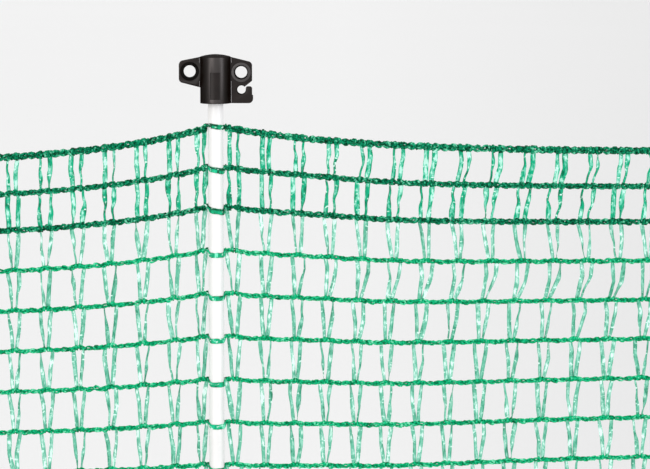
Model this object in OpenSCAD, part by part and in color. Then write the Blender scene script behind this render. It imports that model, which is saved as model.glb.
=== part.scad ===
/* [Fence] */
// Mesh cells in half of a bay; a bay hangs between two posts
half_bay_cells = 16; // [12:1:22]
// Width of one mesh cell
cell_width = 30; // [26:1:36]
// Number of mesh rows between the top and the bottom cord
row_count = 16; // [8:1:18]
// Height of an ordinary mesh row, measured at a post
cell_height = 41; // [34:0.5:46]
// Height of each of the two uppermost mesh rows, measured at a post
top_cell_height = 37.5; // [30:0.5:44]
// Height of the bottom cord above the ground, measured at a post
net_clearance = 30; // [28:1:60]

/* [Netting] */
// Diameter of the reinforced top cord
top_cord = 5.4; // [4.6:0.1:5.6]
// Diameter of the second, third and bottom cords
strong_cord = 5; // [3.6:0.1:5.4]
// Diameter of the ordinary knitted cords
row_cord = 4; // [2.6:0.1:4.6]
// Width of the film tapes in the two uppermost rows
strong_tape = 3.8; // [2:0.1:4]
// Width of the film tapes in the other rows
row_tape = 2.7; // [2:0.1:3.6]
// Distance between the two tapes of a pair
tape_spread = 6; // [5:0.1:6]
// Thickness of the flattened tape
tape_thickness = 0.3; // [0.2:0.05:0.4]

/* [Slack] */
// How far the top cord hangs down in the middle of the right bay
right_sag = 25; // [0:1:40]
// How far the bottom cord is drawn up in the middle of the right bay
right_rise = 19; // [0:1:30]
// How far the top cord hangs down in the middle of the left bay
left_sag = 38; // [0:1:40]
// How far the bottom cord is drawn up in the middle of the left bay
left_rise = 0; // [0:1:30]
// Distance from a post over which the netting settles to its slack height
sag_reach = 130; // [90:5:160]
// How far the cords below the top one are held up beside the centre post in the right bay
right_prop = 1.8; // [0:0.1:4]
// How far the tapes of the right bay have slipped outwards beside the centre post
post_slip = 3; // [0:0.5:4]
// How far the tapes of the right bay lean outwards along the top cord
top_lean = 9; // [0:0.5:12]
// How much less they lean with each strong row below it
top_lean_step = 4.25; // [0:0.25:5]
// How far they lean outwards along the first ordinary row
first_lean = 3.5; // [0:0.5:6]
// How far they lean back inwards in the lowest rows
low_lean = 9; // [0:0.5:10]
// How far the tapes of the left bay have slipped inwards
left_slip = 6; // [0:0.5:8]

/* [Posts] */
// Diameter of the post tube
post_diameter = 14.6; // [13:0.1:16]
// Diameter of the steel spike below the ground line
spike_diameter = 8; // [7.5:0.5:10]
// Diameter of the spike's shank, which fills the bore of the tube
shank_diameter = 7; // [5:0.5:7]
// Length of the spike below the ground line
spike_depth = 150; // [100:5:200]
// Length of the spike held inside the post
spike_grip = 70; // [50:5:90]
// Length of the spike's point
spike_point = 24; // [14:1:30]
// Gap between the top cord and the head, measured at a post
head_gap = 21.5; // [16:0.5:30]

/* [Head] */
// Outer diameter of the head's sleeve
sleeve_diameter = 28.7; // [26:0.1:30]
// Height of the head
head_height = 43.8; // [42:0.1:48]
// Distance from the post axis to the outer edge of each wing
wing_reach = 34.2; // [34:0.1:38]
// Thickness of the wings
wing_thickness = 5; // [4:0.5:7]
// Diameter of the eyelet in each wing
eyelet_diameter = 11.2; // [8:0.1:12]
// Distance from the post axis to each eyelet's centre
eyelet_reach = 24.1; // [23.5:0.1:25]
// Height of the right eyelet, with the raised ring, above the head's lower edge
eyelet_height = 29; // [28:0.1:30]
// Height of the left eyelet, with the dished faces, above the head's lower edge
dished_eyelet_height = 29.8; // [29:0.1:30.5]
// Diameter of the open notch that holds the cord
notch_diameter = 7.9; // [6:0.1:8.4]

/* [Foot] */
// Diameter of the foot's ground flange
flange_diameter = 34; // [28:1:50]
// Height of the foot, which carries the lowest loop of the net
foot_height = 22; // [16:1:22]

/* [Hidden] */
// Clearance of a fitted plastic or steel piece, and of a cord loop on its post
fit = 0.05;
loop_fit = 0.1;

bay_length = 2 * half_bay_cells * cell_width;
half_bay = bay_length / 2;
strong_rows = 2;
net_top = net_clearance + (row_count - strong_rows) * cell_height + strong_rows * top_cell_height;
head_base = net_top + head_gap;

// Loops: a flat tape band in front of the post, and a knitted chain behind it
loop_bore = post_diameter / 2 + loop_fit;
band_height = 3.8;
band_thickness = 0.6;
chain_thickness = 2.4;
chain_height = 3.2;
cord_start = loop_bore + chain_thickness + 0.4;

// Netting: each cord is a front and a back chain face, with the tapes held between
tape_slot = tape_thickness + 0.2;
cord_steps = 12;
crease_gap = 0.4;
tape_inset = 0.1;
prop_centre = 90;
prop_reach = 55;
slip_start = 9;
slip_ramp = 5;
slip_reach = 100;
left_slip_start = 12;
left_slip_reach = 600;
lean_peak = 350;
lean_end = half_bay - cell_width / 2;
lean_rows = 1.1;

// Head
sleeve_edge = 1;
crown_height = 1.9;
crown_steps = 4;
sleeve_wall = 1.95;
socket_wall = 2;
socket_depth = 36;
rib_thickness = 1.5;
wing_root = sleeve_diameter / 2 - sleeve_wall;
boss_diameter = 18.2;
boss_height = 1;
dish_diameter = 17.6;
notch_reach = 24.3;
notch_height = 12.6;
panel_width = 9.4;
panel_base = 4;
panel_height = 25.2;
panel_depth = 0.65;
corner_radius = 4;
arc_steps = 8;

// Foot
flange_thickness = 3;
foot_floor = 6;
foot_wall = 2.6;

$fn = 96;

// ---------- outlines ----------

function unit(v) = v / norm(v);

// Points of an arc of radius r that rounds corner p between neighbours a and b
function corner_arc(a, p, b, r) =
    let (
        u = unit(a - p),
        v = unit(b - p),
        half = acos(u * v) / 2,
        turn = 180 - 2 * half,
        centre = p + unit(u + v) * r / sin(half),
        first = p + u * r / tan(half) - centre,
        last = p + v * r / tan(half) - centre
    )
    [for (i = [0:arc_steps])
        let (s = i / arc_steps)
        centre + (sin((1 - s) * turn) * first + sin(s * turn) * last) / sin(turn)];

// Outline through corners given as [x, z, radius]
function rounded_outline(corners) =
    let (
        n = len(corners),
        at = [for (c = corners) [c[0], c[1]]]
    )
    [for (i = [0:n - 1])
        each corners[i][2] > 0
            ? corner_arc(at[(i + n - 1) % n], at[i], at[(i + 1) % n], corners[i][2])
            : [at[i]]];

// Upright plate of the given thickness, centred on y = 0, with its outline in x and z
module upright_plate(thickness) {
    translate([0, thickness / 2, 0])
        rotate([90, 0, 0])
            linear_extrude(height = thickness)
                children();
}

// Round bar along y, centred on y = 0
module cross_bar(diameter, length, x, z) {
    translate([x, length / 2, z])
        rotate([90, 0, 0])
            cylinder(d = diameter, h = length);
}

// ---------- post ----------

module tube() {
    difference() {
        translate([0, 0, foot_floor])
            cylinder(d = post_diameter, h = head_base + socket_depth - foot_floor);
        translate([0, 0, foot_floor - 1])
            cylinder(d = shank_diameter + 2 * fit, h = head_base + socket_depth);
    }
}

// Pointed spike; its shoulder bears on the underside of the foot
module spike() {
    shank = shank_diameter / 2;
    rotate_extrude()
        polygon([
            [0, -spike_depth],
            [spike_diameter / 2, spike_point - spike_depth],
            [spike_diameter / 2, 0],
            [shank, 0],
            [shank, spike_grip - 1],
            [shank - 1, spike_grip],
            [0, spike_grip]
        ]);
}

module foot() {
    difference() {
        union() {
            cylinder(d = flange_diameter, h = flange_thickness);
            cylinder(d = post_diameter + 2 * foot_wall, h = foot_height);
        }
        translate([0, 0, foot_floor])
            cylinder(d = post_diameter + 2 * fit, h = foot_height);
        translate([0, 0, -1])
            cylinder(d = shank_diameter + 2 * fit, h = foot_height);
    }
}

// Sleeve with a rounded upper edge and a slightly crowned top
module sleeve_body() {
    radius = sleeve_diameter / 2;
    crown = radius - sleeve_edge;
    rotate_extrude() {
        square([radius, head_height - sleeve_edge]);
        square([crown, head_height]);
        translate([crown, head_height - sleeve_edge])
            circle(r = sleeve_edge);
        polygon(concat(
            [[0, head_height - sleeve_edge], [crown, head_height - sleeve_edge]],
            [for (i = [crown_steps:-1:0])
                let (out = i / crown_steps)
                [crown * out, head_height + crown_height * (1 - out * out)]]
        ));
    }
}

// Ring space between the sleeve and the inner socket, bridged by four ribs
module sleeve_cavity() {
    outer = sleeve_diameter / 2 - sleeve_wall;
    inner = post_diameter / 2 + socket_wall;
    difference() {
        translate([0, 0, -1])
            cylinder(r = outer, h = socket_depth + 1);
        translate([0, 0, -2])
            cylinder(r = inner, h = socket_depth + 4);
        for (turn = [45, 135])
            rotate([0, 0, turn])
                translate([-outer, -rib_thickness / 2, 1])
                    cube([2 * outer, rib_thickness, socket_depth]);
    }
}

// Blank recess on the front of the sleeve
module panel_recess() {
    radius = sleeve_diameter / 2;
    intersection() {
        difference() {
            cylinder(r = radius + 1, h = head_height);
            translate([0, 0, -1])
                cylinder(r = radius - panel_depth, h = head_height + 2);
        }
        translate([-panel_width / 2, -radius - 1, panel_base])
            cube([panel_width, radius, panel_height]);
    }
}

module left_wing() {
    upright_plate(wing_thickness)
        polygon(rounded_outline([
            [-wing_root, head_height - 0.3, 0],
            [-wing_reach, 39.1, corner_radius],
            [-wing_reach, 19.9, corner_radius],
            [-wing_root, 14.3, 0]
        ]));
}

// Wing with a finger below it; the gap between them leads into the notch
module right_wing() {
    finger = notch_reach + notch_diameter / 2;
    upright_plate(wing_thickness)
        polygon(rounded_outline([
            [wing_root, head_height - 0.3, 0],
            [wing_reach, 38.1, corner_radius],
            [wing_reach, 20.9, 0.8],
            [finger - 0.1, 16.1, 0.4],
            [finger - 2, 13.6, 0],
            [finger, notch_height + 0.8, 0],
            [finger + 0.6, 15.5, 1.4],
            [wing_reach, 15.5, 2],
            [wing_reach, 8, 0.5],
            [wing_reach + 0.9, 7, 0.8],
            [wing_reach + 0.9, 0, corner_radius],
            [wing_root, 0, 0]
        ]));
}

module head() {
    translate([0, 0, head_base])
        difference() {
            union() {
                sleeve_body();
                left_wing();
                right_wing();
                cross_bar(boss_diameter, wing_thickness + 2 * boss_height, eyelet_reach, eyelet_height);
            }
            translate([0, 0, -1])
                cylinder(d = post_diameter + 2 * fit, h = socket_depth + 1);
            sleeve_cavity();
            panel_recess();
            cross_bar(eyelet_diameter, 20, eyelet_reach, eyelet_height);
            cross_bar(eyelet_diameter, 20, -eyelet_reach, dished_eyelet_height);
            for (side = [-1, 1])
                translate([0, side * wing_thickness / 2, 0])
                    cross_bar(dish_diameter, 2 * boss_height, -eyelet_reach, dished_eyelet_height);
            cross_bar(notch_diameter, 20, notch_reach, notch_height);
        }
}

// ---------- netting ----------

// Height of a row of mesh at a post; row 0 is the top cord
function row_z(row) =
    net_top - min(row, strong_rows) * top_cell_height - max(row - strong_rows, 0) * cell_height;

// Share of the sag reached at a distance d from the centre post
function settled(d) =
    1 - exp(-d / sag_reach) - exp(-(bay_length - d) / sag_reach);

// Share of the lift of the lower rows reached at a distance d; the right bay is lifted more gradually
function lifted(side, d) =
    side > 0 ? sin(180 * d / bay_length) : settled(d);

// Height that a cord of the right bay keeps beside the centre post
function propped(row, d) =
    row > 0 ? right_prop * exp(-pow((d - prop_centre) / prop_reach, 2)) : 0;

function cord_z(side, row, d) =
    let (
        sag = side > 0 ? right_sag : left_sag,
        rise = side > 0 ? right_rise : left_rise,
        prop = side > 0 ? propped(row, d) : 0
    )
    row_z(row) - sag * settled(d) + (sag + rise) * sin(90 * row / row_count) * lifted(side, d) + prop;

function share(value, from, to) = min(max((value - from) / (to - from), 0), 1);

// Full lean of the right bay's tapes on a row; it falls with each strong row, and eases to the low rows' lean
function full_lean(row) =
    row <= strong_rows
        ? top_lean - top_lean_step * row
        : (first_lean + low_lean) * exp(-(row - strong_rows - 1) / lean_rows) - low_lean;

// How far a tape has slipped outwards along a cord, between the centre post and the crease
function slipped(side, row, d) =
    let (
        faded = 0.5 + 0.5 * cos(180 * share(d, lean_peak, lean_end)),
        grown = sin(90 * share(d, cell_width, lean_peak)),
        beside_post = post_slip * exp(-d / slip_reach) * share(d, slip_start, slip_start + slip_ramp),
        past_first = share(d, left_slip_start, left_slip_start + cell_width),
        inwards = left_slip * exp(-d / left_slip_reach) * past_first
    )
    side > 0
        ? beside_post + full_lean(row) * grown * faded
        : -inwards * faded;

// One cord between two distances from the centre post
module cord(side, row, size, from, to) {
    reach = [for (i = [0:cord_steps]) from + (to - from) * i / cord_steps];
    upper = [for (d = reach) [side * d, cord_z(side, row, d) + size / 2]];
    lower = [for (i = [cord_steps:-1:0]) upper[i] - [0, size]];
    face = (size - tape_slot) / 2;
    for (front = [-1, 1])
        translate([0, front * (size + tape_slot) / 4, 0])
            upright_plate(face)
                polygon(concat(upper, lower));
}

module inner_cord(side, row, size) {
    cord(side, row, size, cord_start, half_bay - crease_gap / 2);
}

module outer_cord(side, row, size) {
    cord(side, row, size, half_bay + crease_gap / 2, bay_length - cord_start);
}

// Pairs of tapes hanging from one row of cord to another
module tape_pairs(side, first_cell, upper_row, lower_row, width) {
    edge = [width / 2, 0];
    for (cell = [first_cell:first_cell + half_bay_cells - 1])
        for (hand = [-1, 1]) {
            d = (cell + 0.5) * cell_width + hand * tape_spread / 2;
            line = [for (row = [upper_row:lower_row])
                let (
                    moved = d + slipped(side, row, d),
                    inset = row == upper_row ? -tape_inset : row == lower_row ? tape_inset : 0
                )
                [side * moved, cord_z(side, row, moved) + inset]];
            upright_plate(tape_thickness)
                polygon(concat(
                    [for (point = line) point - edge],
                    [for (i = [len(line) - 1:-1:0]) line[i] + edge]
                ));
        }
}

module loop_bands() {
    for (row = [0:row_count])
        translate([0, 0, row_z(row)])
            rotate([0, 0, 180])
                rotate_extrude(angle = 180)
                    translate([loop_bore, -band_height / 2])
                        square([band_thickness, band_height]);
}

module loop_chains() {
    for (row = [0:row_count])
        translate([0, 0, row_z(row)])
            rotate_extrude(angle = 180)
                translate([loop_bore, -chain_height / 2])
                    square([chain_thickness, chain_height]);
}

module at_left() {
    translate([-bay_length, 0, 0]) children();
}

module at_right() {
    translate([bay_length, 0, 0]) children();
}

// ---------- posts ----------

module centre_tube() { color("white") tube(); }
module centre_head() { color("#1c1b1c") head(); }
module centre_foot() { color("#1c1b1c") foot(); }
module centre_spike() { color("silver") spike(); }

module left_tube() { color("white") at_left() tube(); }
module left_head() { color("#1c1b1c") at_left() head(); }
module left_foot() { color("#1c1b1c") at_left() foot(); }
module left_spike() { color("silver") at_left() spike(); }

module right_tube() { color("white") at_right() tube(); }
module right_head() { color("#1c1b1c") at_right() head(); }
module right_foot() { color("#1c1b1c") at_right() foot(); }
module right_spike() { color("silver") at_right() spike(); }

// ---------- loops on the posts ----------

module centre_loop_bands() { color("#00b070") loop_bands(); }
module centre_loop_chains() { color("#007048") loop_chains(); }
module left_loop_bands() { color("#00b070") at_left() loop_bands(); }
module left_loop_chains() { color("#007048") at_left() loop_chains(); }
module right_loop_bands() { color("#00b070") at_right() loop_bands(); }
module right_loop_chains() { color("#007048") at_right() loop_chains(); }

// ---------- netting, each bay in two halves that fold on each other ----------

module inner_top_cord(side) { color("#006040") inner_cord(side, 0, top_cord); }
module outer_top_cord(side) { color("#006040") outer_cord(side, 0, top_cord); }

module inner_strong_cords(side) {
    color("#006e48")
        for (row = [1:strong_rows])
            inner_cord(side, row, strong_cord);
}

module outer_strong_cords(side) {
    color("#006e48")
        for (row = [1:strong_rows])
            outer_cord(side, row, strong_cord);
}

module inner_row_cords(side) {
    color("#00965f")
        for (row = [strong_rows + 1:row_count - 1])
            inner_cord(side, row, row_cord);
}

module outer_row_cords(side) {
    color("#00965f")
        for (row = [strong_rows + 1:row_count - 1])
            outer_cord(side, row, row_cord);
}

module inner_bottom_cord(side) { color("#006e48") inner_cord(side, row_count, strong_cord); }
module outer_bottom_cord(side) { color("#006e48") outer_cord(side, row_count, strong_cord); }

module inner_strong_tapes(side) {
    color("#14b478") tape_pairs(side, 0, 0, strong_rows, strong_tape);
}

module outer_strong_tapes(side) {
    color("#14b478") tape_pairs(side, half_bay_cells, 0, strong_rows, strong_tape);
}

module inner_row_tapes(side) {
    color("#5ac8a0") tape_pairs(side, 0, strong_rows, row_count, row_tape);
}

module outer_row_tapes(side) {
    color("#5ac8a0") tape_pairs(side, half_bay_cells, strong_rows, row_count, row_tape);
}

module left_inner_top_cord() { inner_top_cord(-1); }
module left_inner_strong_cords() { inner_strong_cords(-1); }
module left_inner_row_cords() { inner_row_cords(-1); }
module left_inner_bottom_cord() { inner_bottom_cord(-1); }
module left_inner_strong_tapes() { inner_strong_tapes(-1); }
module left_inner_row_tapes() { inner_row_tapes(-1); }

module left_outer_top_cord() { outer_top_cord(-1); }
module left_outer_strong_cords() { outer_strong_cords(-1); }
module left_outer_row_cords() { outer_row_cords(-1); }
module left_outer_bottom_cord() { outer_bottom_cord(-1); }
module left_outer_strong_tapes() { outer_strong_tapes(-1); }
module left_outer_row_tapes() { outer_row_tapes(-1); }

module right_inner_top_cord() { inner_top_cord(1); }
module right_inner_strong_cords() { inner_strong_cords(1); }
module right_inner_row_cords() { inner_row_cords(1); }
module right_inner_bottom_cord() { inner_bottom_cord(1); }
module right_inner_strong_tapes() { inner_strong_tapes(1); }
module right_inner_row_tapes() { inner_row_tapes(1); }

module right_outer_top_cord() { outer_top_cord(1); }
module right_outer_strong_cords() { outer_strong_cords(1); }
module right_outer_row_cords() { outer_row_cords(1); }
module right_outer_bottom_cord() { outer_bottom_cord(1); }
module right_outer_strong_tapes() { outer_strong_tapes(1); }
module right_outer_row_tapes() { outer_row_tapes(1); }

centre_tube();
centre_head();
centre_foot();
centre_spike();
left_tube();
left_head();
left_foot();
left_spike();
right_tube();
right_head();
right_foot();
right_spike();
centre_loop_bands();
centre_loop_chains();
left_loop_bands();
left_loop_chains();
right_loop_bands();
right_loop_chains();
left_inner_top_cord();
left_inner_strong_cords();
left_inner_row_cords();
left_inner_bottom_cord();
left_inner_strong_tapes();
left_inner_row_tapes();
left_outer_top_cord();
left_outer_strong_cords();
left_outer_row_cords();
left_outer_bottom_cord();
left_outer_strong_tapes();
left_outer_row_tapes();
right_inner_top_cord();
right_inner_strong_cords();
right_inner_row_cords();
right_inner_bottom_cord();
right_inner_strong_tapes();
right_inner_row_tapes();
right_outer_top_cord();
right_outer_strong_cords();
right_outer_row_cords();
right_outer_bottom_cord();
right_outer_strong_tapes();
right_outer_row_tapes();
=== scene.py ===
"""The looks of a knitted net fence on push-in posts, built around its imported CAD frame.

Lengths are in metres. The fence runs along X, its front faces -Y and Z is up. Rows are counted from the top
cord, which is row 0, and level n is the mesh row below cord n. A distance d is measured along the fence from
the centre post's axis, and side is -1 (left) or 1 (right).
"""
import math

import bmesh
import bpy
import numpy as np
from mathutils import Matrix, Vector


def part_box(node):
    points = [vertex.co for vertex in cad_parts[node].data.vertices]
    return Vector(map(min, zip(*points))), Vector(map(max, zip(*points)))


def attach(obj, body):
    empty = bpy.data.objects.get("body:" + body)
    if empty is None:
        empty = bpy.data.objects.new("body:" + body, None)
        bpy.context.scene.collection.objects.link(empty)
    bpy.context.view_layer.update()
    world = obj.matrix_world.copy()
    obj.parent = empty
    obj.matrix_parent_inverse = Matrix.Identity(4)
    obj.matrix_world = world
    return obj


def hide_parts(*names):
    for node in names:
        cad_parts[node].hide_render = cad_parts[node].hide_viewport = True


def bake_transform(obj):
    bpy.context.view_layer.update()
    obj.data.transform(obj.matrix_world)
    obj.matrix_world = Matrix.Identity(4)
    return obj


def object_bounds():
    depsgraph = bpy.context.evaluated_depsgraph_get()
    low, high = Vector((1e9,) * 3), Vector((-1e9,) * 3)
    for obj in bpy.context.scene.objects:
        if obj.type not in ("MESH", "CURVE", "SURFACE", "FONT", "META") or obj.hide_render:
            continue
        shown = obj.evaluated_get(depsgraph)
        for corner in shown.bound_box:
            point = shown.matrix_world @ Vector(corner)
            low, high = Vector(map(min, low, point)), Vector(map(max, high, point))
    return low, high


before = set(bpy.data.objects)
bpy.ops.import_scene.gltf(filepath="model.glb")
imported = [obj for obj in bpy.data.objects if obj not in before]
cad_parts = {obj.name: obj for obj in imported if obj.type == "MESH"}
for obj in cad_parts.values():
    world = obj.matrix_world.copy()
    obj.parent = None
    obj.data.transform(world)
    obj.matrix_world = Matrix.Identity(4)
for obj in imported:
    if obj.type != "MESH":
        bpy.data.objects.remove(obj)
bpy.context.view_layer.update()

MM = 0.001
SIDES = {"left": -1, "right": 1}

# ---------- layout: counts named here, places taken from the frame ----------

ROWS = 16
STRONG_ROWS = 2
HALF_CELLS = 16
STITCHES_PER_CELL = 4
TOP_CELL = 37.5 * MM
SAG_REACH = 130 * MM
CHAIN_HEIGHT = 3.2 * MM
TOP_CORD = 5.4 * MM
STRONG_CORD = 5 * MM

# How far the tapes of the right bay lean outwards along the top cord, how much less with each strong row, and
# how far along the first ordinary row and the lowest rows
TOP_LEAN = 9 * MM
TOP_LEAN_STEP = 4.25 * MM
FIRST_LEAN = 3.5 * MM
LOW_LEAN = -9 * MM
LEAN_ROWS = 1.1
LEAN_PEAK = 350 * MM

# How far the netting has slipped: outwards beside the centre post, and inwards in the left bay
POST_SLIP = 3 * MM
POST_SLIP_START = 9 * MM
POST_SLIP_RAMP = 5 * MM
POST_SLIP_REACH = 100 * MM
LEFT_SLIP = 6 * MM
LEFT_SLIP_START = 12 * MM
LEFT_SLIP_REACH = 600 * MM

# How far the cords below the top one are held up in the right bay, beside the centre post
RIGHT_PROP = 1.8 * MM
PROP_CENTRE = 90 * MM
PROP_REACH = 55 * MM

# How far the bottom cord rises beside a post, clear of the foot when the loops slide down
FOOT_LIFT = 1.9 * MM
FOOT_REACH = 15 * MM

# How far the knots pull a cord up in the middle of each cell
STRONG_KNOT = 0.6 * MM
ROW_KNOT = 1.3 * MM
KNOT_REACH = 4.2 * MM
KNOT_MEAN = 0.25

# How far the leaning tapes bulge outwards in the top mesh row, and in the second ordinary one
TOP_BULGE = 2.3 * MM
ROW_BULGE = 2.6 * MM

bay = -(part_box("left_tube")[0].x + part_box("left_tube")[1].x) / 2
half_bay = bay / 2
cell = half_bay / HALF_CELLS
stitch = cell / STITCHES_PER_CELL
stitches = round(bay / stitch)
post_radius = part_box("centre_tube")[1].x
chain_low, chain_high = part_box("centre_loop_chains")
net_top = chain_high.z - CHAIN_HEIGHT / 2
net_bottom = chain_low.z + CHAIN_HEIGHT / 2
cell_height = (net_top - net_bottom - STRONG_ROWS * TOP_CELL) / (ROWS - STRONG_ROWS)


def settled(d):
    """Share of the sag that the netting has at a distance d."""
    return 1 - np.exp(-d / SAG_REACH) - np.exp(-(bay - d) / SAG_REACH)


def lifted(side, d):
    """Share of the lift of the lower rows at a distance d; the right bay is lifted more gradually."""
    return np.sin(math.pi * d / bay) if side > 0 else settled(d)


def measured_slack(side):
    """(sag of the top cord, rise of the bottom cord), measured on the CAD cords."""
    name = "left" if side < 0 else "right"
    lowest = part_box(f"{name}_inner_top_cord")[0].z + TOP_CORD / 2
    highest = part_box(f"{name}_inner_bottom_cord")[1].z - STRONG_CORD / 2
    share = float(settled(half_bay))
    sag = (net_top - lowest) / share
    return sag, (highest - net_bottom + sag * share) / float(lifted(side, half_bay)) - sag


SLACK = {side: measured_slack(side) for side in SIDES.values()}


def row_z(row):
    """Height of a cord at a post."""
    return net_top - min(row, STRONG_ROWS) * TOP_CELL - max(row - STRONG_ROWS, 0) * cell_height


def cord_line(side, row, d):
    """Height of a cord's smooth line."""
    sag, rise = SLACK[side]
    prop = RIGHT_PROP if side > 0 and row > 0 else 0
    z = row_z(row) - sag * settled(d) + (sag + rise) * math.sin(math.pi / 2 * row / ROWS) * lifted(side, d)
    z = z + prop * np.exp(-(((d - PROP_CENTRE) / PROP_REACH) ** 2))
    if row == ROWS:
        z = z + FOOT_LIFT * (np.exp(-((d / FOOT_REACH) ** 4)) + np.exp(-(((bay - d) / FOOT_REACH) ** 4)))
    return z


def knot_lift(row, d):
    """How far the tapes above pull the cord up, with a peak at the middle of each cell."""
    if row == 0:
        return 0 * d
    peak = STRONG_KNOT if row <= STRONG_ROWS else ROW_KNOT
    offset = (d / cell) % 1 * cell - cell / 2
    return peak * (np.exp(-((offset / KNOT_REACH) ** 2)) - KNOT_MEAN)


def full_lean(row):
    """Full outward lean of the right bay's tapes on a row."""
    if row <= STRONG_ROWS:
        return TOP_LEAN - TOP_LEAN_STEP * row
    return (FIRST_LEAN - LOW_LEAN) * math.exp(-(row - STRONG_ROWS - 1) / LEAN_ROWS) + LOW_LEAN


def faded(d):
    """Falls smoothly from 1 at the peak of the lean to 0 just before the fold."""
    return 0.5 + 0.5 * np.cos(math.pi * np.clip((d - LEAN_PEAK) / (half_bay - cell / 2 - LEAN_PEAK), 0, 1))


def lean_share(d):
    """Share of the lean reached at a distance d: it grows from the first cell, and fades before the fold."""
    grown = np.sin(math.pi / 2 * np.clip((d - cell) / (LEAN_PEAK - cell), 0, 1))
    return grown * faded(d)


def drift(side, row, d):
    """How far the netting has slipped outwards along a cord. All of it is pulled over to the right at the
    centre post, and the right bay leans more and more between the post and the fold."""
    if side < 0:
        started = np.clip((d - LEFT_SLIP_START) / cell, 0, 1)
        return -LEFT_SLIP * started * np.exp(-d / LEFT_SLIP_REACH) * faded(d)
    started = np.clip((d - POST_SLIP_START) / POST_SLIP_RAMP, 0, 1)
    return POST_SLIP * np.exp(-d / POST_SLIP_REACH) * started + full_lean(row) * lean_share(d)


def bulge(side, level, d):
    """How far the tapes of a mesh row bulge outwards where the lean of the right bay changes. It halves with
    each mesh row below the second ordinary one."""
    if side < 0 or 0 < level <= STRONG_ROWS:
        return 0 * d
    most = TOP_BULGE if level == 0 else ROW_BULGE * 0.5 ** (level - STRONG_ROWS - 1)
    return most * lean_share(d)


def place(side, row, d):
    """(x, z) of a point of the knitting that belongs at distance d on a cord."""
    moved = d + drift(side, row, d)
    return side * moved, cord_line(side, row, moved) + knot_lift(row, d)


def cord_size(row):
    """(height, strand width, strand thickness) of a cord's stitches."""
    if row == 0:
        return 7.7 * MM, 3.1 * MM, 1.5 * MM
    if row <= STRONG_ROWS or row == ROWS:
        return 6.4 * MM, 2.6 * MM, 1.3 * MM
    return 5.1 * MM, 2.1 * MM, 1.1 * MM


# ---------- mesh building ----------


class Shell:
    """Collects closed strands and makes one mesh object of them."""

    def __init__(self):
        self.points, self.faces, self.slots, self.tones = [], [], [], []
        self.count = 0

    def add(self, grid, ring, slot, tone):
        """grid holds strands as (strand, section, point, xyz), and tone is a value for each of their points.
        A ring strand has no ends; the others are capped."""

        def next_point(corners):
            return np.roll(corners, -1, axis=2)

        n, m, k, _ = grid.shape
        index = self.count + np.arange(n * m * k).reshape(n, m, k)
        after = np.roll(index, -1, axis=1) if ring else index[:, 1:]
        here = index if ring else index[:, :-1]
        quads = np.stack([here, next_point(here), next_point(after), after], axis=-1)
        faces = quads.reshape(-1, 4).tolist()
        if not ring:
            faces += index[:, 0, ::-1].tolist() + index[:, -1].tolist()
        self.points.append(grid.reshape(-1, 3))
        self.faces += faces
        self.slots += [slot] * len(faces)
        self.tones.append(np.broadcast_to(tone, (n, m, k)).reshape(-1))
        self.count += n * m * k

    def build(self, name, materials):
        """Film and strands keep their flat facets, which catch the light as creases."""
        mesh = bpy.data.meshes.new(name)
        mesh.from_pydata(np.concatenate(self.points).tolist(), [], self.faces)
        for material in materials:
            mesh.materials.append(material)
        mesh.polygons.foreach_set("material_index", self.slots)
        mesh.shade_flat()
        tone = mesh.attributes.new("tone", "FLOAT", "POINT")
        tone.data.foreach_set("value", np.concatenate(self.tones).astype(np.float32))
        mesh.update()
        obj = bpy.data.objects.new(name, mesh)
        bpy.context.scene.collection.objects.link(obj)
        return obj


def smooth_step(value, start, end):
    """Rises smoothly from 0 to 1 as value goes from start to end."""
    t = np.clip((value - start) / (end - start), 0, 1)
    return t * t * (3 - 2 * t)


def normalised(v):
    return v / np.linalg.norm(v, axis=-1, keepdims=True)


def tangents(path, ring):
    """Directions along paths given as (strand, section, xyz)."""
    if ring:
        return normalised(np.roll(path, -1, axis=1) - np.roll(path, 1, axis=1))
    return normalised(np.gradient(path, axis=1))


def sweep(path, section, across, ring=False, twist=0.0):
    """Sweeps section points (strand, section, point, 2) along paths, with their first axis near the across
    direction."""
    along = tangents(path, ring)
    first = normalised(across - (across * along).sum(-1, keepdims=True) * along)
    second = np.cross(along, first)
    c, s = np.cos(twist), np.sin(twist)
    u = first * np.expand_dims(c, -1) + second * np.expand_dims(s, -1)
    v = np.cross(along, u)
    return path[:, :, None] + section[..., :1] * u[:, :, None] + section[..., 1:] * v[:, :, None]


def oval(width, thickness, points=6):
    """Oval section for sweep; width and thickness may be arrays with one value per strand."""
    angle = 2 * math.pi * np.arange(points) / points
    width, thickness = np.reshape(width, (-1, 1, 1)), np.reshape(thickness, (-1, 1, 1))
    return np.stack(np.broadcast_arrays(width / 2 * np.cos(angle), thickness / 2 * np.sin(angle)), axis=-1)


WANDER_SCALE = 0.8


def wander(rng, shape, smoothing):
    """Smooth random values along the last axis, mostly between -1 and 1."""
    values = rng.normal(size=shape[:-1] + (shape[-1] + 2 * smoothing,))
    kernel = np.ones(smoothing + 1) / (smoothing + 1)
    for _ in range(2):
        values = np.apply_along_axis(np.convolve, -1, values, kernel, "valid")
    return values * math.sqrt(smoothing + 1) * WANDER_SCALE


# ---------- cords ----------

LOOP_SECTIONS = 10
LOOP_LENGTH = 1.4 * stitch
END_LOOP_LENGTH = 0.95 * stitch
LOOP_LEAN = math.radians(9)
WINDING_STEP = 2.3 * MM
WINDING_PITCH = 1.6 * stitch
CORE_PITCH = 3.1 * stitch
END_GAP = 1.2 * MM
WRAP_SECTIONS = 8
WRAP_FILM = 0.6 * MM


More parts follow.
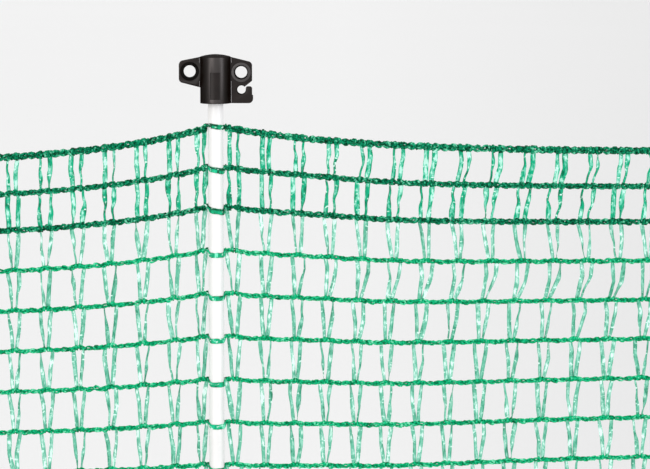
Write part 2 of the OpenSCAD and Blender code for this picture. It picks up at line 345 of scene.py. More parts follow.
def add_stitches(shell, side, row, first, last, rng, slot):
    """Teardrop loops of the knitted chain, stitch numbers first to last, each lying over the one before."""
    number = np.arange(first, last + 1)
    count = len(number)
    height, strand, thick = cord_size(row)
    d = (number + 0.5) * stitch
    slope = np.arctan2(place(side, row, d + MM)[1] - place(side, row, d - MM)[1], 2 * MM * side)
    centre_x, centre_z = place(side, row, d)
    at_post = (number == 1) | (number == stitches - 2)
    length = np.where(at_post, END_LOOP_LENGTH, LOOP_LENGTH) * rng.uniform(0.93, 1.07, count)
    beside = np.where(number == 1, post_radius + length / 2, bay - post_radius - length / 2)
    centre_x = np.where(at_post, side * beside, centre_x)
    tall = (height - strand) * rng.uniform(0.9, 1.12, count)
    theta = 2 * math.pi * np.arange(LOOP_SECTIONS) / LOOP_SECTIONS
    along = np.outer(length - strand, np.cos(theta) / 2)
    up = np.outer(tall, np.sin(theta) * (0.6 + 0.4 * np.cos(theta)) / 1.4)
    out = np.outer(thick * rng.uniform(0.75, 1.05, count), -np.cos(theta)) * 0.75
    lean = slope + LOOP_LEAN * (-1.0) ** number + rng.normal(0, 0.1, count)
    c, s = np.cos(lean)[:, None], np.sin(lean)[:, None]
    x = centre_x[:, None] + along * c - up * s
    z = centre_z[:, None] + along * s + up * c
    y = out + rng.normal(0, 0.15 * MM, count)[:, None]
    path = np.stack([x, y, z], axis=-1)
    section = oval(strand * rng.uniform(0.85, 1.15, count), thick, 5)
    turn = 0.35 * rng.normal(size=(count, LOOP_SECTIONS))
    grid = sweep(path, section, np.cross([0, 1.0, 0], tangents(path, True)), ring=True, twist=turn)
    tone = rng.uniform(0.1, 0.9, (count, 1, 1)) + 0.3 * rng.normal(size=(count, LOOP_SECTIONS, 1))
    shell.add(grid, True, slot, tone)


def add_windings(shell, side, row, start, end, rng, slot):
    """Two flat strands that wind through the chain and round each other."""
    height, strand, thick = cord_size(row)
    steps = max(4, round((end - start) / WINDING_STEP))
    d = np.linspace(start, end, steps + 1)
    x, z = place(side, row, d)
    for phase in (0, math.pi):
        angle = 2 * math.pi * d / WINDING_PITCH + phase + row + 0.5 * wander(rng, (steps + 1,), 3)
        reach = height * (0.32 + 0.03 * wander(rng, (steps + 1,), 2))
        path = np.stack([x, 0.55 * reach * np.cos(angle), z + reach * np.sin(angle)], axis=-1)[None]
        section = oval(strand * 0.85, thick * 0.7, 5)
        turn = 0.5 * rng.normal(size=(1, steps + 1))
        tone = 0.35 + 0.4 * rng.normal(size=(1, steps + 1, 1))
        shell.add(sweep(path, section, np.array([0, 0, 1.0]), twist=turn), False, slot, tone)


def add_core(shell, side, row, start, end, phase, slot):
    """The flat tape laid through the chain, winding slowly about the cord's line."""
    height, _, thick = cord_size(row)
    steps = max(4, round((end - start) / (stitch / 2)))
    d = np.linspace(start, end, steps + 1)
    angle = 2 * math.pi * d / CORE_PITCH + phase
    reach = height * 0.12
    x, z = place(side, row, d)
    path = np.stack([x, reach * np.cos(angle), z + reach * np.sin(angle)], axis=-1)[None]
    across = np.stack([0 * d, np.sin(angle / 2), np.cos(angle / 2)], axis=-1)[None]
    section = oval(height * 0.55, thick * 0.8)
    # The core is a real strand; its low tone darkens it as painted shade in the holes of the chain.
    shell.add(sweep(path, section, across), False, slot, 0.15)


def add_wraps(shell, side, row, first, last, rng, slot):
    """Turns of film round the cord where the tapes from above are tied in."""
    cells = np.arange(first // STITCHES_PER_CELL, (last + 1) // STITCHES_PER_CELL)
    spread = pair_spread(side, max(row - 1, 0))[1]
    d = (np.repeat(cells, 2) + 0.5) * cell + np.tile([-0.5, 0.5], len(cells)) * spread
    d = d[(d > first * stitch) & (d < (last + 1) * stitch) & (d > post_radius + 3 * MM)]
    height, strand, _ = cord_size(row)
    x, z = place(side, row, d)
    theta = 2 * math.pi * np.arange(WRAP_SECTIONS) / WRAP_SECTIONS
    tall = height * rng.uniform(0.45, 0.52, (len(d), 1))
    slant = rng.normal(0, 0.5 * MM, (len(d), 1))
    out, up = np.cos(theta), np.sin(theta)
    path = np.stack([x[:, None] + slant * up, 0.55 * tall * out, z[:, None] + tall * up], axis=-1)
    section = oval(strand * rng.uniform(0.7, 1.1, len(d)), WRAP_FILM, 4)
    tone = 0.3 + 0.3 * rng.normal(size=(len(d), WRAP_SECTIONS, 1))
    shell.add(sweep(path, section, np.array([1.0, 0, 0]), ring=True), True, slot, tone)


def add_cord(shell, side, row, first, last, slot):
    """Stitches first to last of one cord, with the strands through them."""
    rng = np.random.default_rng([row + 1, side + 2, first])
    add_stitches(shell, side, row, first, last, rng, slot)
    start = max(first * stitch, post_radius + END_GAP)
    end = min((last + 1) * stitch, bay - post_radius - END_GAP)
    add_core(shell, side, row, start, end, 1.7 * row + side, slot)
    add_windings(shell, side, row, start, end, rng, slot)
    add_wraps(shell, side, row, first, last, rng, slot)


# ---------- tapes ----------

TAPE_SECTIONS = 14
TAPE_ACROSS = np.array([-0.5, -0.17, 0.17, 0.5])
TAPE_FILM = 0.16 * MM
# Tone across a tape's section: darker at its edges, where the film is folded double, and paler in its middle,
# painted light showing through the thin film.
EDGE_TONE = np.array([-0.42, 0.2, 0.2, -0.42, -0.42, 0.2, 0.2, -0.42])
LEVEL_TONES = {0: 0.72, 1: 0.64, 2: 0.72}
LOWER_TONE = 0.58


def pair_spread(side, level):
    """Distance between the two tapes of a pair, at the top and the bottom of a mesh row."""
    if level == 0:
        return (9.0 * MM, 7.2 * MM) if side < 0 else (7.2 * MM, 6.0 * MM)
    if level == 1:
        return (10.2 * MM, 8.4 * MM) if side < 0 else (10.2 * MM, 7.4 * MM)
    return 10.8 * MM, 3.4 * MM


def film_section(across, crease, film):
    """Closed section of a creased film ribbon; film is its half thickness."""
    front = np.stack([across, crease - film], axis=-1)
    back = np.stack([across, crease + film], axis=-1)[..., ::-1, :]
    return np.concatenate([front, back], axis=-2)


def add_tapes(shell, side, level, cells, rng, slot):
    """The pairs of crinkled film tapes of one mesh row, for the given cells. Some are rolled up into a thin
    dark strand for part of their length, and some turn edge on."""
    strong = level < STRONG_ROWS
    wide = (4.6 if level == 0 else 4.9 if strong else 3.9) * MM
    centre = np.repeat((np.asarray(cells) + 0.5) * cell, 2)
    hand = np.tile([-1.0, 1.0], len(cells))
    n = len(centre)
    t = np.linspace(0, 1, TAPE_SECTIONS)
    belly = np.sin(math.pi * t)

    def chance(share):
        return (rng.uniform(size=n) < share)[:, None]

    def waves(smoothing):
        return wander(rng, (n, TAPE_SECTIONS), smoothing)

    rolled = chance(0.38 if strong else 0.2) * smooth_step(np.where(chance(0.6), t, 1 - t), 0.3, 0.65)
    turned = np.where(chance(0.2), rng.choice([-1, 1], n)[:, None], 0)
    turned = turned * smooth_step(np.where(chance(0.6), t, 1 - t), 0.45, 0.85)

    top_spread, low_spread = pair_spread(side, level)
    upper = centre + hand * top_spread / 2 * rng.uniform(0.85, 1.15, n)
    lower = centre + hand * low_spread / 2 * rng.uniform(0.85, 1.15, n)
    top_x, top_z = place(side, level, upper)
    low_x, low_z = place(side, level + 1, lower)
    corner = np.repeat(rng.uniform(0.25, 0.55, len(cells)), 2)[:, None]
    both = np.repeat(rng.normal(0, 0.6 * MM, len(cells)), 2)[:, None]
    out = both + rng.normal(0, 0.5 * MM, (n, 1)) + side * bulge(side, level, centre)[:, None]
    kink = out * np.minimum(t / corner, (1 - t) / (1 - corner))
    sway = (0.5 if strong else 0.3) * MM * waves(3)
    bend = np.sin(2 * math.pi * (1.3 * t + rng.uniform(size=(n, 1))))
    bend *= (1.1 if strong else 0.7) * MM * rolled
    x = top_x[:, None] * (1 - t) + low_x[:, None] * t + kink + (sway + bend) * belly
    closest = post_radius + 0.3 * wide
    x = side * np.clip(side * x, closest, bay - closest)
    z = top_z[:, None] * (1 - t) + low_z[:, None] * t
    y = waves(3) * belly * 0.7 * MM + rng.normal(0, 0.5 * MM, (n, 1)) * belly
    path = np.stack([x, y, z], axis=-1)

    pinch = 0.75 + 0.25 * np.minimum(1, np.minimum(t, 1 - t) / 0.1)
    width = wide * rng.uniform(0.85, 1.1, (n, 1)) * pinch * (1 + 0.1 * waves(2)) * (1 - 0.5 * rolled)
    crease = np.zeros((n, TAPE_SECTIONS, 4))
    crease[..., 1:3] = 0.16 * np.stack([waves(2) for _ in range(2)], axis=-1)
    crease *= width[..., None]
    film = TAPE_FILM / 2 * (1 + 2 * rolled[..., None])
    section = film_section(TAPE_ACROSS * width[..., None], crease, film)
    twist = rng.normal(0, 0.25, (n, 1)) + 1.15 * turned + 0.15 * waves(2)
    tone = LEVEL_TONES.get(level, LOWER_TONE) + rng.normal(0, 0.16, (n, 1))
    tone = tone - 0.4 * rolled - 0.3 * np.abs(turned) + 0.12 * waves(1)
    grid = sweep(path, section, np.array([1.0, 0, 0]), twist=twist)
    shell.add(grid, False, slot, tone[..., None] + EDGE_TONE)


# ---------- loops round the posts ----------

BAND_SECTIONS = 33
BAND_FILM = 0.28 * MM
THIRD_BAND_DROP = 1.7 * MM
CHAIN_TURNS = 2.5
CHAIN_DROP = 0.9 * MM


def add_band(shell, post_x, row, rng, slot):
    """The flat tape of a cord where it crosses the front of a post. It leaves the cord on the left as a
    twisted strand, spreads out below the row, and turns up again at the right edge of the post."""
    t = np.linspace(0, 1, BAND_SECTIONS)
    angle = math.pi * (1 + t)
    deep = rng.uniform(0.88, 1.12) * MM
    strong = 0 < row <= STRONG_ROWS
    if row == ROWS:
        drop = 0 * t
    elif row == 0:
        drop = deep * (2.2 * smooth_step(t, 0.1, 0.95) - 0.9)
    elif strong:
        drop = deep * (2.8 * smooth_step(t, 0, 0.4) + 1.6 * smooth_step(t, 0.35, 0.9))
        drop = drop + THIRD_BAND_DROP * (row - 1) * smooth_step(t, 0, 0.4)
    else:
        drop = 5.0 * deep * smooth_step(t, 0, 0.32)
    drop = drop * (1 - 0.8 * smooth_step(t, 0.9, 1))
    flare = 3.6 * MM * np.clip(1 - t / 0.14, 0, 1) ** 1.5 + 0.8 * MM * smooth_step(t, 0.93, 1)
    radius = post_radius + 0.5 * MM + flare + 0.1 * MM * wander(rng, (BAND_SECTIONS,), 2)
    z = row_z(row) - drop + 0.1 * MM * wander(rng, (BAND_SECTIONS,), 2)
    radial = np.stack([np.cos(angle), np.sin(angle), 0 * t], axis=-1)
    path = (radial * radius[:, None] + np.stack([0 * t + post_x, 0 * t, z], axis=-1))[None]
    spread = smooth_step(t, 0.12, 0.32)
    wide = (3.4 if row == ROWS else 5.4 if strong else 4.6) * MM
    width = wide * (0.5 + 0.5 * spread) * (1 - 0.4 * smooth_step(t, 0.94, 1))
    width = width * (1 + 0.05 * wander(rng, (BAND_SECTIONS,), 2))
    crease = np.zeros((BAND_SECTIONS, 4))
    crease[:, 1:3] = 0.1 * MM * np.stack([wander(rng, (BAND_SECTIONS,), 2) for _ in range(2)], axis=-1)
    section = film_section(TAPE_ACROSS * width[:, None], crease, BAND_FILM / 2)[None]
    shade = -0.1 if row == 0 else 0.0 if strong else 0.42
    # painted highlight: a paler patch across the middle of the band
    painted_sheen = (0.6 if strong else 0.2) * np.exp(-(((t - 0.45) / 0.13) ** 2))
    tone = 0.2 + shade * spread + painted_sheen + 0.22 * wander(rng, (BAND_SECTIONS,), 2)
    upwards = np.array([0, 0, 1.0])
    shell.add(sweep(path, section, upwards), False, slot, tone[None, :, None] + 0.5 * EDGE_TONE)
    if strong or row == 0:
        edge = path + radial * 0.5 * MM + upwards * (0.42 * width * (1 - 0.6 * t))[:, None]
        shell.add(sweep(edge[:, 4:-2], oval(1.5 * MM, 0.9 * MM), upwards), False, slot, -0.5)


def add_back_chain(shell, post_x, row, slot):
    """Two strands of the chain twisting round each other behind the post."""
    height, strand, thick = (3 * MM, 2 * MM, 1.1 * MM) if row == ROWS else cord_size(row)
    low = 0 if row == ROWS else CHAIN_DROP
    t = np.linspace(-0.01, 1.01, BAND_SECTIONS)
    angle = math.pi * (1 - t)
    for phase in (0, math.pi):
        wind = 2 * math.pi * CHAIN_TURNS * t + phase
        reach = 0.2 * height
        radius = post_radius + 1.1 * MM + reach + reach * 0.8 * np.cos(wind)
        radial = np.stack([np.cos(angle), np.sin(angle), 0 * t], axis=-1)
        z = row_z(row) - low + reach * np.sin(wind)
        path = (radial * radius[:, None] + np.stack([0 * t + post_x, 0 * t, z], axis=-1))[None]
        tone = (0.3 + 0.25 * np.sin(37 * t))[None, :, None]
        shell.add(sweep(path, oval(strand, thick), np.array([0, 0, 1.0])), False, slot, tone)


# ---------- materials ----------


class Nodes:
    """A node material with a Principled surface."""

    def __init__(self, name, roughness, coat=0.0, metallic=0.0, gloss=0.5, tint=(1, 1, 1)):
        self.material = bpy.data.materials.new(name)
        self.material.use_nodes = True
        self.tree = self.material.node_tree
        self.surface = self.tree.nodes["Principled BSDF"]
        self.surface.inputs["Roughness"].default_value = roughness
        self.surface.inputs["Coat Weight"].default_value = coat
        self.surface.inputs["Metallic"].default_value = metallic
        self.surface.inputs["Specular IOR Level"].default_value = gloss
        self.surface.inputs["Specular Tint"].default_value = (*tint, 1)
        self.place = self.tree.nodes.new("ShaderNodeTexCoord").outputs["Object"]

    def link(self, source, target):
        self.tree.links.new(source, target)

    def noise(self, scale, stretch=(1, 1, 1), detail=3.0, rough=0.55):
        """Noise in object space; scale is in cells per metre before stretch."""
        mapping = self.tree.nodes.new("ShaderNodeMapping")
        mapping.inputs["Scale"].default_value = stretch
        self.link(self.place, mapping.inputs["Vector"])
        noise = self.tree.nodes.new("ShaderNodeTexNoise")
        noise.inputs["Scale"].default_value = scale
        noise.inputs["Detail"].default_value = detail
        noise.inputs["Roughness"].default_value = rough
        self.link(mapping.outputs["Vector"], noise.inputs["Vector"])
        return noise.outputs["Fac"]

    def tone(self):
        node = self.tree.nodes.new("ShaderNodeAttribute")
        node.attribute_name = "tone"
        return node.outputs["Fac"]

    def ramp(self, value, stops):
        node = self.tree.nodes.new("ShaderNodeValToRGB")
        band = node.color_ramp
        while len(band.elements) < len(stops):
            band.elements.new(0.5)
        for element, (position, color) in zip(band.elements, stops):
            element.position = position
            element.color = (*color, 1)
        self.link(value, node.inputs["Fac"])
        return node.outputs["Color"]

    def math(self, kind, a, b):
        node = self.tree.nodes.new("ShaderNodeMath")
        node.operation = kind
        for socket, value in zip(node.inputs, (a, b)):
            if isinstance(value, (int, float)):
                socket.default_value = value
            else:
                self.link(value, socket)
        return node.outputs["Value"]

    def mix(self, share, a, b):
        node = self.tree.nodes.new("ShaderNodeMix")
        node.data_type = "RGBA"
        for socket, value in ((node.inputs["Factor"], share), (node.inputs["A"], a), (node.inputs["B"], b)):
            if isinstance(value, tuple):
                socket.default_value = (*value, 1)
            elif isinstance(value, (int, float)):
                socket.default_value = value
            else:
                self.link(value, socket)
        return node.outputs["Result"]

    def bump(self, height, depth, strength):
        node = self.tree.nodes.new("ShaderNodeBump")
        node.inputs["Distance"].default_value = depth
        node.inputs["Strength"].default_value = strength
        self.link(height, node.inputs["Height"])
        self.link(node.outputs["Normal"], self.surface.inputs["Normal"])

    def finish(self, color, roughness=None):
        self.link(color, self.surface.inputs["Base Color"])
        if roughness is not None:
            self.link(roughness, self.surface.inputs["Roughness"])
        return self.material


def knit_material(name, dark, mid, light, painted_glint):
    """Knitted film tape, flecked: its dark flecks are painted shade in its folds, and its pale flecks are
    small painted glints.
    """
    m = Nodes(name, 0.34, gloss=0.3, tint=(0.1, 1, 0.6))
    fleck = m.noise(560, (1, 1, 1), 2.0)
    value = m.math("ADD", m.math("MULTIPLY", fleck, 0.9), m.math("MULTIPLY", m.tone(), 0.22))
    # dark stop: painted shade in the folds; light and glint stops: painted highlights
    color = m.ramp(value, [(0.4, dark), (0.5, mid), (0.64, light), (0.76, painted_glint)])
    m.bump(m.noise(1500), 0.25 * MM, 0.6)
    return m.finish(color)


def tape_material(name, dark, mid, light, painted_glint):
    """Thin crinkled film: even where it is flat, paler for short lengths where it is creased or thin, as
    painted light through the thin film and painted highlights on its creases, dark where it is rolled up, and
    with small white painted glints across its creases."""
    m = Nodes(name, 0.34, gloss=0.3, tint=(0.4, 1, 0.8))
    patch = m.noise(200, (1, 1, 0.6), 2.0)
    streak = m.noise(900, (1, 1, 0.15), 2.0)
    value = m.math("ADD", m.math("MULTIPLY", patch, 1.35), m.math("MULTIPLY", streak, 0.65))
    value = m.math("ADD", value, m.math("MULTIPLY", m.tone(), 0.3))
    # light and glint stops: painted light through the film and painted highlights
    stops = [(0.28, dark), (0.34, mid), (0.52, mid), (0.56, light), (0.68, light), (0.73, painted_glint)]
    color = m.ramp(m.math("SUBTRACT", value, 0.675), stops)
    crease = m.noise(330, (0.8, 0.8, 1.2), 1.0)
    # painted glints: pale spots mixed in across the creases
    glint_mask = m.ramp(crease, [(0.62, (0, 0, 0)), (0.74, (1, 1, 1))])
    m.bump(m.noise(900, (1, 1, 0.3)), 0.3 * MM, 0.6)
    return m.finish(m.mix(glint_mask, color, (0.6, 0.88, 0.78)))


def post_material():
    """Extruded white plastic, with faint draw lines, handling dirt and a soft gloss."""
    m = Nodes("post_plastic", 0.3, coat=0.15, gloss=0.5)
    lines = m.noise(1400, (1, 1, 0.004), 2.0)
    dirt = m.noise(35, (1, 1, 0.5), 5.0, 0.7)
    color = m.ramp(dirt, [(0.25, (0.7, 0.7, 0.69)), (0.6, (0.75, 0.75, 0.745))])
    m.bump(lines, 0.05 * MM, 0.25)
    return m.finish(color, m.math("ADD", m.math("MULTIPLY", dirt, 0.2), 0.25))


def black_material(name, low, high, gloss, fade=3.0, tint=(1, 1, 1)):
    """Moulded black plastic, satin with a fine spark-eroded grain. Its gloss fades towards its outline."""
    m = Nodes(name, 0.36, tint=tint)
    cloud = m.noise(60, (1, 1, 1), 4.0)
    color = m.ramp(cloud, [(0.3, low), (0.7, high)])
    facing = m.tree.nodes.new("ShaderNodeLayerWeight").outputs["Facing"]
    level = m.math("MULTIPLY", m.math("POWER", m.math("SUBTRACT", 1.0, facing), fade), gloss)
    m.link(level, m.surface.inputs["Specular IOR Level"])
    m.bump(m.noise(2600, (1, 1, 1), 2.0), 0.05 * MM, 0.35)
    return m.finish(color, m.math("ADD", m.math("MULTIPLY", cloud, 0.12), 0.27))


def steel_material():
    """Drawn steel with dull zinc plating and long scratches."""
    m = Nodes("spike_steel", 0.4, metallic=1.0)
    scratch = m.noise(1500, (1, 1, 0.03), 3.0)
    cloud = m.noise(90, (1, 1, 0.4), 4.0)
    color = m.ramp(cloud, [(0.3, (0.42, 0.43, 0.44)), (0.7, (0.66, 0.67, 0.68))])
    m.bump(scratch, 0.04 * MM, 0.5)
    return m.finish(color, m.math("ADD", m.math("MULTIPLY", scratch, 0.3), 0.22))


DARK_CORD = knit_material(
    "dark_cord", (0, 0.02, 0.006), (0, 0.132, 0.052), (0.003, 0.255, 0.12), (0.17, 0.54, 0.36)
)
GREEN_CORD = knit_material(
    "green_cord", (0, 0.12, 0.04), (0, 0.325, 0.122), (0.005, 0.445, 0.2), (0.2, 0.66, 0.42)
)
BRIGHT_TAPE = tape_material(
    "bright_tape", (0, 0.16, 0.075), (0.002, 0.335, 0.168), (0.13, 0.52, 0.365), (0.46, 0.8, 0.67)
)
PALE_TAPE = tape_material(
    "pale_tape", (0.045, 0.27, 0.165), (0.116, 0.415, 0.283), (0.255, 0.565, 0.445), (0.66, 0.87, 0.79)
)
BAND_TAPE = tape_material(
    "band_tape", (0, 0.06, 0.025), (0, 0.3, 0.13), (0.005, 0.45, 0.22), (0.2, 0.75, 0.5)
)
POST_PLASTIC = post_material()
BLACK_PLASTIC = black_material("black_plastic", (0.006, 0.0035, 0.003), (0.011, 0.007, 0.006), 0.25)
# a darker, glossier copy of the black plastic for the sleeve: its darker colour is painted shade on the
# sleeve's sides
SLEEVE_PLASTIC = black_material(
    "sleeve_plastic", (0.003, 0.0018, 0.0012), (0.006, 0.0038, 0.003), 0.85, fade=6.0, tint=(1, 0.93, 0.92)
)
# pale plastic for the lines beside the sleeve: a painted highlight
HIGHLIGHT_LINE_PLASTIC = black_material("painted_highlight_line", (0.4, 0.38, 0.39), (0.52, 0.5, 0.51), 0.5)
# lighter plastic for the boss face: painted light, where the raised boss catches the light
LIT_BOSS_PLASTIC = black_material("painted_light_boss", (0.032, 0.028, 0.028), (0.046, 0.041, 0.041), 0.45)
# darkest plastic for the dish and the chamfers of the holes: painted shade in the recesses
SHADED_RECESS_PLASTIC = black_material("painted_shade_recess", (0.002, 0.0015, 0.0012), (0.004, 0.003, 0.0025), 0.06)
SPIKE_STEEL = steel_material()
HEAD_MATERIALS = [BLACK_PLASTIC, LIT_BOSS_PLASTIC, SHADED_RECESS_PLASTIC, HIGHLIGHT_LINE_PLASTIC, SLEEVE_PLASTIC]

# ---------- netting pieces ----------

NEAR_STITCHES = STITCHES_PER_CELL
CREASE_STITCHES = STITCHES_PER_CELL // 2
MIDDLE_STITCH = stitches // 2
NET_MATERIALS = [DARK_CORD, GREEN_CORD, BRIGHT_TAPE, PALE_TAPE]


def cord_slot(row):
    """A cord's slot in NET_MATERIALS."""
    return NET_MATERIALS.index(DARK_CORD if row <= STRONG_ROWS or row == ROWS else GREEN_CORD)


def tape_slot(level):
    """The slot in NET_MATERIALS of a mesh row's tapes."""
    return NET_MATERIALS.index(BRIGHT_TAPE if level < STRONG_ROWS else PALE_TAPE)


CORD_GROUPS = {
    "top_cord": ([0], "dark_cord"),
    "strong_cords": (range(1, STRONG_ROWS + 1), "dark_cord"),
    "row_cords": (range(STRONG_ROWS + 1, ROWS), "green_cord"),
    "bottom_cord": ([ROWS], "dark_cord"),
}
TAPE_GROUPS = {
    "strong_tapes": (range(0, STRONG_ROWS), BRIGHT_TAPE, "bright_tape"),
    "row_tapes": (range(STRONG_ROWS, ROWS), PALE_TAPE, "pale_tape"),
}


def tape_rng(side, level, cells):
    return np.random.default_rng([100 + level, side + 2, cells[0]])


def make_half_bay(name, side, half):
    """The part of a half bay that moves as one body, from the cell beside a post to the crease."""
    body = f"{name}_bay_{half}"
    if half == "inner":
        first, last = NEAR_STITCHES, MIDDLE_STITCH - CREASE_STITCHES - 1
        cells = list(range(1, HALF_CELLS))
    else:
        first, last = MIDDLE_STITCH + CREASE_STITCHES, stitches - NEAR_STITCHES - 1
        cells = list(range(HALF_CELLS, 2 * HALF_CELLS - 1))
    for group, (rows, slot) in CORD_GROUPS.items():
        shell = Shell()
        for row in rows:
            add_cord(shell, side, row, first, last, cord_slot(row))
        piece = shell.build(f"{name}_{half}_{group}_knit", NET_MATERIALS)
        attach(piece, body)
        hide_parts(f"{name}_{half}_{group}")
    for group, (levels, material, slot) in TAPE_GROUPS.items():
        shell = Shell()
        for level in levels:
            add_tapes(shell, side, level, cells, tape_rng(side, level, cells), 0)
        piece = shell.build(f"{name}_{half}_{group}_film", [material])
        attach(piece, body)
        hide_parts(f"{name}_{half}_{group}")


def make_post_cell(name, side, half):
    """The cords and tapes in the cell beside a post."""
    near = half == "inner"
    first, last = (1, NEAR_STITCHES - 1) if near else (stitches - NEAR_STITCHES, stitches - 2)
    cells = [0] if near else [2 * HALF_CELLS - 1]
    shell = Shell()
    for row in range(ROWS + 1):
        add_cord(shell, side, row, first, last, cord_slot(row))
    for level in range(ROWS):
        add_tapes(shell, side, level, cells, tape_rng(side, level, cells), tape_slot(level))
    piece = shell.build(f"{name}_{half}_post_cell", NET_MATERIALS)
    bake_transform(piece)


def make_crease(name, side):
    """The short lengths of cord across the fold in the middle of a bay."""
    first, last = MIDDLE_STITCH - CREASE_STITCHES, MIDDLE_STITCH + CREASE_STITCHES - 1
    shell = Shell()
    for row in range(ROWS + 1):
        add_cord(shell, side, row, first, last, cord_slot(row))
    piece = shell.build(f"{name}_crease_cords", NET_MATERIALS)
    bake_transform(piece)


def make_loops(name, post_x):
    """The bands and chains of all cords round one post."""
    bands, chains = Shell(), Shell()
    for row in range(ROWS + 1):
        rng = np.random.default_rng([300 + row, round(post_x * 1000) + 2000])
        add_band(bands, post_x, row, rng, 0)
        add_back_chain(chains, post_x, row, cord_slot(row))
    for shell, group, materials, slot in (
        (bands, "loop_bands", [BAND_TAPE], "bright_tape"),
        (chains, "loop_chains", NET_MATERIALS, "dark_cord"),
    ):
        piece = shell.build(f"{name}_{group}_knit", materials)
        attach(piece, f"{name}_loops")
        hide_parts(f"{name}_{group}")


WELD = 0.002 * MM


def finish_post(name):
    """Materials and softened edges for the CAD pieces of one post, apart from its head."""
    for part, material, edge in (
        ("tube", POST_PLASTIC, 0.3 * MM),
        ("foot", BLACK_PLASTIC, 0.5 * MM),
        ("spike", SPIKE_STEEL, 0.15 * MM),
    ):
        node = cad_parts[f"{name}_{part}"]
        node.data.materials.clear()
        node.data.materials.append(material)
        weld = node.modifiers.new("weld", "WELD")
        weld.merge_threshold = WELD
        bevel = node.modifiers.new("edges", "BEVEL")
        bevel.width = edge
        bevel.segments = 2
        bevel.limit_method = "ANGLE"
        bevel.angle_limit = math.radians(40)


def add_highlight_line(mould, x, y, low, high, outward):
    """A fine raised line on a wing's front, beside the sleeve, in pale plastic: a painted highlight where the
    wing meets the sleeve.
    """
    section = [(0.3 * MM, 0.3 * MM), (0.7 * MM, -0.2 * MM), (1.1 * MM, 0.3 * MM)]
    ends = [[mould.verts.new((x + outward * px, y + py, z)) for px, py in section] for z in (low, high)]
    faces = [mould.faces.new(end) for end in ends]
    for i in range(3):
        j = (i + 1) % 3
        faces.append(mould.faces.new((ends[0][i], ends[0][j], ends[1][j], ends[1][i])))
    bmesh.ops.recalc_face_normals(mould, faces=faces)
    for face in faces:
        face.material_index = HEAD_MATERIALS.index(HIGHLIGHT_LINE_PLASTIC)


def make_head(name, post_x):
    """The moulded head, with radiused edges, fine pale lines where the wings meet the sleeve as painted
    highlights, a boss painted lighter as painted light, and a dish and chamfers in the boss and the notch
    painted dark as painted shade."""
    mould = bmesh.new()
    mould.from_mesh(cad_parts[f"{name}_head"].data)
    bmesh.ops.remove_doubles(mould, verts=mould.verts, dist=WELD)
    bmesh.ops.dissolve_limit(mould, angle_limit=math.radians(0.4), verts=mould.verts, edges=mould.edges)
    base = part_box(f"{name}_head")[0].z
    sleeve = 14.35 * MM
    boss_face, wing_face, dish_face = 3.5 * MM, 2.5 * MM, 1.5 * MM
    boss = {"x": 24.1 * MM, "z": 29 * MM, "radius": 5.6 * MM, "face_y": boss_face}
    notch = {"x": 24.3 * MM, "z": 12.6 * MM, "radius": 3.95 * MM, "face_y": wing_face}

    def sharp(convex):
        return [
            e for e in mould.edges
            if len(e.link_faces) == 2 and e.is_convex == convex and e.calc_face_angle() > math.radians(35)
        ]

    def rim(x, z, radius, face_y):
        """Edges of a round hole where it meets the faces at a distance face_y from the middle plane."""
        return [
            e for e in sharp(True)
            if all(
                abs(math.hypot(v.co.x - post_x - x, v.co.z - base - z) - radius) < 0.15 * MM
                and abs(abs(v.co.y) - face_y) < 0.05 * MM
                for v in e.verts
            )
        ]

    corners = []
    for edge in sharp(False):
        a, b = sorted((v.co.copy() for v in edge.verts), key=lambda co: co.z)
        upright = abs(a.x - b.x) + abs(a.y - b.y) < 0.1 * MM
        if upright and abs(abs(a.x - post_x) - sleeve) < 0.5 * MM and abs(a.y + wing_face) < 0.1 * MM:
            corners.append((a, b))
    soften = {"segments": 2, "profile": 0.5, "affect": "EDGES", "clamp_overlap": True}
    # the chamfers of the boss hole and the notch get the darkest plastic: painted shade
    shaded_recess = HEAD_MATERIALS.index(SHADED_RECESS_PLASTIC)
    bmesh.ops.bevel(mould, geom=rim(**boss), offset=1.2 * MM, material=shaded_recess, **soften)
    unclamped = dict(soften, clamp_overlap=False)
    bmesh.ops.bevel(mould, geom=rim(**notch), offset=0.7 * MM, material=shaded_recess, **unclamped)
    bmesh.ops.bevel(mould, geom=sharp(True), offset=0.4 * MM, material=-1, **soften)

    for face in mould.faces:
        face.smooth = True
        c = face.calc_center_median()
        flat = abs(face.normal.y) > 0.99
        beside = abs(c.x - post_x) > sleeve
        # the boss face gets the lighter plastic: painted light
        if beside and flat and abs(abs(c.y) - boss_face) < 0.1 * MM:
            face.material_index = HEAD_MATERIALS.index(LIT_BOSS_PLASTIC)
        # the dish face gets the darkest plastic: painted shade
        elif beside and flat and abs(abs(c.y) - dish_face) < 0.1 * MM:
            face.material_index = shaded_recess
        # the sleeve gets the darker copy: painted shade at its sides
        elif not beside and math.hypot(c.x - post_x, c.y) > sleeve - 0.5 * MM:
            face.material_index = HEAD_MATERIALS.index(SLEEVE_PLASTIC)
    # pale lines beside the sleeve, above and below the boss: painted highlights
    ring_low, ring_high = base + 21.4 * MM, base + 37.2 * MM
    inset = 0.6 * MM
    for a, b in corners:
        outward = 1 if a.x > post_x else -1
        for low, high in ((a.z, min(b.z, ring_low)), (max(a.z, ring_high), b.z)):
            if high - low > 2 * MM:
                add_highlight_line(mould, a.x, a.y, low + inset, high - inset, outward)
    mesh = bpy.data.meshes.new(f"{name}_head_moulding")
    mould.to_mesh(mesh)
    mould.free()
    mesh.set_sharp_from_angle(angle=math.radians(38))
    for material in HEAD_MATERIALS:
        mesh.materials.append(material)
    head = bpy.data.objects.new(mesh.name, mesh)
    bpy.context.scene.collection.objects.link(head)
    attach(head, f"{name}_post")
    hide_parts(f"{name}_head")


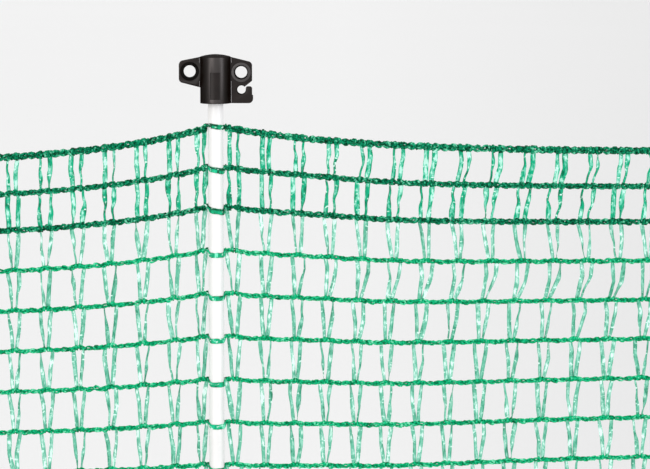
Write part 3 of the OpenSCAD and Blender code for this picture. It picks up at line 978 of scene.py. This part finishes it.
for name, side in SIDES.items():
    for half in ("inner", "outer"):
        make_half_bay(name, side, half)
        make_post_cell(name, side, half)
    make_crease(name, side)
for name, post_x in (("left", -bay), ("centre", 0.0), ("right", bay)):
    make_loops(name, post_x)
    finish_post(name)
    make_head(name, post_x)

# ---------- stage, light and camera ----------

CAMERA_X = 0.1024
CAMERA_DISTANCE = 3.2
CAMERA_BELOW_HEAD = 0.1696
VIEW_WIDTH = 0.611
PITCH = math.radians(6.6)
STRIP_DISTANCE = 2.8
STRIP_HEIGHT = 1.2
STRIP_LENGTH = 2.6


def floor_material():
    """Matt white paint, a little less lit to the right of the camera's axis and in the foreground."""
    m = Nodes("floor_paint", 0.9)
    axes = m.tree.nodes.new("ShaderNodeSeparateXYZ")
    m.link(m.place, axes.inputs["Vector"])
    away = m.math("ADD", m.math("ABSOLUTE", axes.outputs["Y"], 0.0), CAMERA_DISTANCE)
    slope = m.math("DIVIDE", m.math("SUBTRACT", axes.outputs["X"], CAMERA_X), away)
    right = m.math("MINIMUM", m.math("MAXIMUM", m.math("SUBTRACT", slope, 0.005), 0.0), 0.12)
    near = m.math("DIVIDE", 1.0, away)
    dimmer = m.math("ADD", m.math("MULTIPLY", right, 0.8), m.math("MULTIPLY", near, 0.3))
    level = m.math("SUBTRACT", 0.945, dimmer)
    cloud = m.math("MULTIPLY", m.noise(0.7), 0.01)
    return m.finish(m.math("ADD", level, cloud))


def make_floor():
    """A wide floor just below the spikes' points."""
    size = 120.0
    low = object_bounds()[0][2] - 0.5 * MM
    mesh = bpy.data.meshes.new("floor")
    corners = [(-size, -size, low), (size, -size, low), (size, size, low), (-size, size, low)]
    mesh.from_pydata(corners, [], [(0, 1, 2, 3)])
    mesh.materials.append(floor_material())
    floor = bpy.data.objects.new("floor", mesh)
    bpy.context.scene.collection.objects.link(floor)


def make_strip(name, azimuth, width, radiance, color):
    """A tall soft box standing in front of the fence; azimuth is positive to the right."""
    light = bpy.data.lights.new(name, "AREA")
    light.shape = "RECTANGLE"
    light.size = width
    light.size_y = STRIP_LENGTH
    light.energy = radiance * math.pi * light.size * light.size_y
    light.color = color
    strip = bpy.data.objects.new(name, light)
    a = math.radians(azimuth)
    strip.location = (math.sin(a) * STRIP_DISTANCE, -math.cos(a) * STRIP_DISTANCE, STRIP_HEIGHT)
    strip.rotation_euler = Vector((math.sin(a), -math.cos(a), 0)).to_track_quat("Z", "Y").to_euler()
    strip.visible_camera = False
    bpy.context.scene.collection.objects.link(strip)


def make_world():
    """Even white light from all round."""
    world = bpy.data.worlds.new("studio")
    world.use_nodes = True
    background = world.node_tree.nodes["Background"]
    background.inputs["Color"].default_value = (1, 1, 1, 1)
    background.inputs["Strength"].default_value = 0.95
    bpy.context.scene.world = world


def make_camera():
    """A long lens that looks down a little, aimed below the centre post's head and to its right."""
    target = Vector((CAMERA_X, 0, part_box("centre_head")[1].z - CAMERA_BELOW_HEAD))
    data = bpy.data.cameras.new("camera")
    data.sensor_width = 36
    data.lens = data.sensor_width * CAMERA_DISTANCE / VIEW_WIDTH
    data.clip_end = 300
    camera = bpy.data.objects.new("camera", data)
    camera.location = target + CAMERA_DISTANCE * Vector((0, -math.cos(PITCH), math.sin(PITCH)))
    camera.rotation_euler = (math.pi / 2 - PITCH, 0, 0)
    bpy.context.scene.collection.objects.link(camera)
    bpy.context.scene.camera = camera


make_floor()
make_strip("left_strip", -33, 1.8, 2.1, (1, 0.955, 0.93))
make_strip("right_strip", 52, 0.8, 4.2, (0.94, 0.95, 1))
make_world()
make_camera()
bpy.context.scene.view_settings.view_transform = "Standard"
